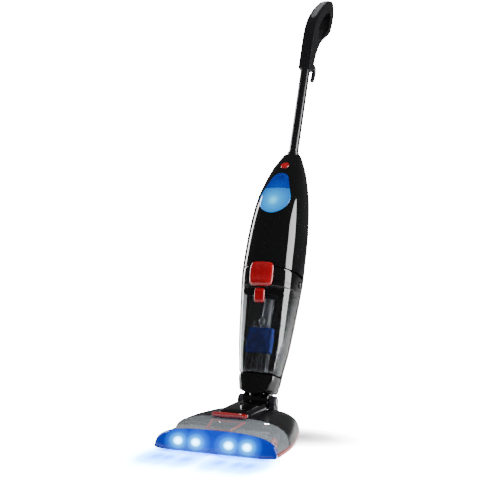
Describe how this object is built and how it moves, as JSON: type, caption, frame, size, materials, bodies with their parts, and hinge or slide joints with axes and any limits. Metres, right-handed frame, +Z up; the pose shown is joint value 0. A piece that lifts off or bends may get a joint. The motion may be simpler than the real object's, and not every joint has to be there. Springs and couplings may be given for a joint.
{
  "type": "wet and dry floor washer",
  "caption": "Upright floor washer: lit roller head with clear cover, reclining neck, clear dirty-water tank, clean-water window with filler cap, tube and loop handle with cord hooks.",
  "frame": {"origin": "on the floor, under the centre of the whole washer's box at rest", "axes": "+Z up, -Y to the front of the floor head, +X to the washer's left as seen from the front"},
  "size_m": [0.298, 0.7774, 1.1047],
  "materials": {
    "gloss_black": "polished moulded plastic",
    "satin_black": "fine satin moulding",
    "dark_grey": "plain moulded",
    "mid_grey": "plain moulded",
    "red": "glossy",
    "rubber": "matt",
    "steel": "plain",
    "alloy": "cast",
    "tube_black": "black powder coat",
    "board_green": "circuit board",
    "pile": "short pile",
    "filter_blue": "foam filter",
    "clear": "transparent",
    "lens_blue": "transparent blue, lit",
    "window_blue": "transparent blue, lit",
    "led_white": "bright reflector"
  },
  "bodies": {
    "head": {"head_chassis": "dark_grey", "head_cover": "satin_black", "neck_cowl": "gloss_black", "side_skirt": "red", "front_lens": "lens_blue", "led_board": "board_green", "led_reflector": "led_white", "suction_frame": "red", "roller_hood": "mid_grey", "suction_duct": "dark_grey", "spray_bar": "mid_grey", "squeegee": "rubber", "brush_motor": "steel", "drive_belt": "rubber", "rear_axle": "steel", "neck_pin_left": "steel", "neck_pin_right": "steel"},
    "window": {"window_cover": "clear"},
    "window_latch": {"window_latch": "red"},
    "roller": {"roller_core": "dark_grey", "roller_pile": "pile", "roller_end_cap": "red"},
    "motor_pulley": {"motor_pulley": "steel"},
    "wheel_left": {"rear_wheel_left": "rubber"},
    "wheel_right": {"rear_wheel_right": "rubber"},
    "neck": {"neck_yoke": "gloss_black", "retaining_ring": "steel"},
    "body": {"swivel_base": "dark_grey", "rear_shell": "satin_black", "chin_cover": "gloss_black", "spine_frame": "dark_grey", "front_cover": "gloss_black", "tank_window": "window_blue", "clean_water_tank": "clear", "suction_motor": "alloy", "fan_housing": "mid_grey", "water_pump": "dark_grey", "control_board": "board_green", "water_hose": "clear", "tube_ferrule": "satin_black", "handle_tube": "tube_black", "cord_gland": "rubber", "lower_cord_hook": "satin_black", "handle_left": "satin_black", "handle_right": "satin_black", "grip_pad": "mid_grey"},
    "filler_cap": {"filler_cap": "lens_blue"},
    "power_button": {"power_button": "red"},
    "spray_trigger": {"spray_trigger": "satin_black"},
    "cord_hook": {"cord_hook": "satin_black"},
    "tank": {"tank_shell": "clear", "tank_lid": "gloss_black", "lid_seal": "rubber", "intake_riser": "mid_grey", "tank_filter": "filter_blue", "side_grip_left": "satin_black", "side_grip_right": "satin_black", "tank_pull_tab": "red"},
    "tank_latch": {"tank_latch": "red"},
    "float": {"float_ball": "mid_grey"}
  },
  "joints": [
    {"name": "recline", "type": "hinge", "parent": "head", "child": "neck", "pos_m": [0, -0.1237, 0.075], "axis": [-1, 0, 0], "range_deg": [-20, 45]},
    {"name": "swivel", "type": "hinge", "parent": "neck", "child": "body", "pos_m": [0, -0.1237, 0.075], "axis": [0, 0.3665, 0.9304], "range_deg": [-40, 40]},
    {"name": "wheel_left_roll", "type": "hinge", "parent": "head", "child": "wheel_left", "pos_m": [-0.066, -0.1222, 0.022], "axis": [1, 0, 0], "continuous": true},
    {"name": "wheel_right_roll", "type": "hinge", "parent": "head", "child": "wheel_right", "pos_m": [0.066, -0.1222, 0.022], "axis": [1, 0, 0], "continuous": true},
    {"name": "roller_spin", "type": "hinge", "parent": "head", "child": "roller", "pos_m": [0, -0.3287, 0.022], "axis": [1, 0, 0], "continuous": true},
    {"name": "motor_spin", "type": "hinge", "parent": "head", "child": "motor_pulley", "pos_m": [0, -0.2587, 0.029], "axis": [1, 0, 0], "continuous": true},
    {"name": "window_lift", "type": "slide", "parent": "head", "child": "window", "axis": [0, 0, 1], "range_m": [0, 0.06]},
    {"name": "window_latch_slide", "type": "slide", "parent": "window", "child": "window_latch", "axis": [0, -1, 0], "range_m": [0, 0.003], "stiffness_N_per_m": 500},
    {"name": "tank_tilt", "type": "hinge", "parent": "body", "child": "tank", "pos_m": [0, -0.14189, 0.14343], "axis": [1, 0, 0], "range_deg": [0, 28]},
    {"name": "tank_latch_slide", "type": "slide", "parent": "tank", "child": "tank_latch", "axis": [0, -0.3665, -0.9304], "range_m": [0, 0.004], "stiffness_N_per_m": 500},
    {"name": "float_rise", "type": "slide", "parent": "tank", "child": "float", "axis": [0, 0.3665, 0.9304], "range_m": [0, 0.012]},
    {"name": "filler_cap_hinge", "type": "hinge", "parent": "body", "child": "filler_cap", "pos_m": [0, 0.032, 0.6263], "axis": [-1, 0, 0], "range_deg": [0, 70]},
    {"name": "power_button_press", "type": "slide", "parent": "body", "child": "power_button", "axis": [0, 0.6372, -0.7707], "range_m": [0, 0.002], "stiffness_N_per_m": 500},
    {"name": "spray_trigger_pull", "type": "slide", "parent": "body", "child": "spray_trigger", "axis": [0, -0.9304, 0.3665], "range_m": [0, 0.0025], "stiffness_N_per_m": 400},
    {"name": "cord_hook_turn", "type": "hinge", "parent": "body", "child": "cord_hook", "pos_m": [0, 0.23406, 0.90138], "axis": [0, 0.9304, -0.3665], "range_deg": [0, 180]}
  ],
  "couplings": [
    {"joint": "motor_spin", "follows": "roller_spin", "ratio": 2}
  ]
}
